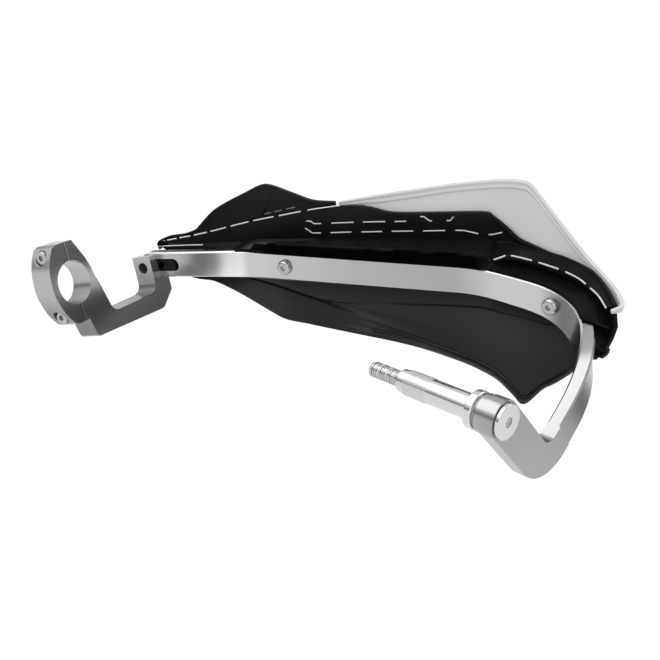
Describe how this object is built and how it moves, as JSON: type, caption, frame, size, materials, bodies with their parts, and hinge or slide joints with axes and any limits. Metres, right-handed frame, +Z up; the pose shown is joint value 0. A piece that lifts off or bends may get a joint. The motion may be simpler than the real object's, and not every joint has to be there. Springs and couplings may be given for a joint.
{
  "type": "motorcycle hand guard",
  "caption": "Right-hand motorcycle hand guard: a bent flat aluminium bar with a split handlebar clamp on an arm, an expanding bar-end plug, a black shell, a wing and a pale wind deflector.",
  "frame": {"origin": "on the axis of the bar-end plug, at the end face of the handlebar", "axes": "+X outboard along the plug's axis, +Y forward as the motorcycle rides, +Z up"},
  "size_m": [0.3412, 0.2153, 0.1353],
  "materials": {
    "bar_metal": "fine satin, anodised silver",
    "clamp_metal": "milled and satin",
    "fastener_metal": "bright zinc",
    "plug_metal": "bright",
    "key_plastic": "matt black",
    "shell_plastic": "satin black, injection moulded",
    "deflector_plastic": "glossy light grey",
    "insert_brass": "turned",
    "dark_fastener": "blackened"
  },
  "bodies": {
    "root": {"backbone_bar": "bar_metal", "clamp_arm": "clamp_metal", "clamp_cap": "clamp_metal", "clamp_screw_upper": "fastener_metal", "clamp_screw_lower": "fastener_metal", "arm_bolt": "fastener_metal", "arm_washer": "fastener_metal", "slot_key": "key_plastic", "plug_bolt": "plug_metal", "spacer_ring": "plug_metal", "expansion_sleeve": "plug_metal", "expander_cone": "plug_metal", "main_shell": "shell_plastic", "upper_wing": "shell_plastic", "wind_deflector": "deflector_plastic", "shell_screw_inner": "fastener_metal", "shell_screw_outer": "fastener_metal", "shell_insert_inner": "insert_brass", "shell_insert_outer": "insert_brass", "wing_screw_inner": "dark_fastener", "wing_screw_outer": "dark_fastener", "wing_insert_inner": "insert_brass", "wing_insert_outer": "insert_brass", "deflector_screw_inner": "dark_fastener", "deflector_screw_middle": "dark_fastener", "deflector_screw_outer": "dark_fastener", "deflector_insert_inner": "insert_brass", "deflector_insert_middle": "insert_brass", "deflector_insert_outer": "insert_brass"}
  },
  "joints": []
}
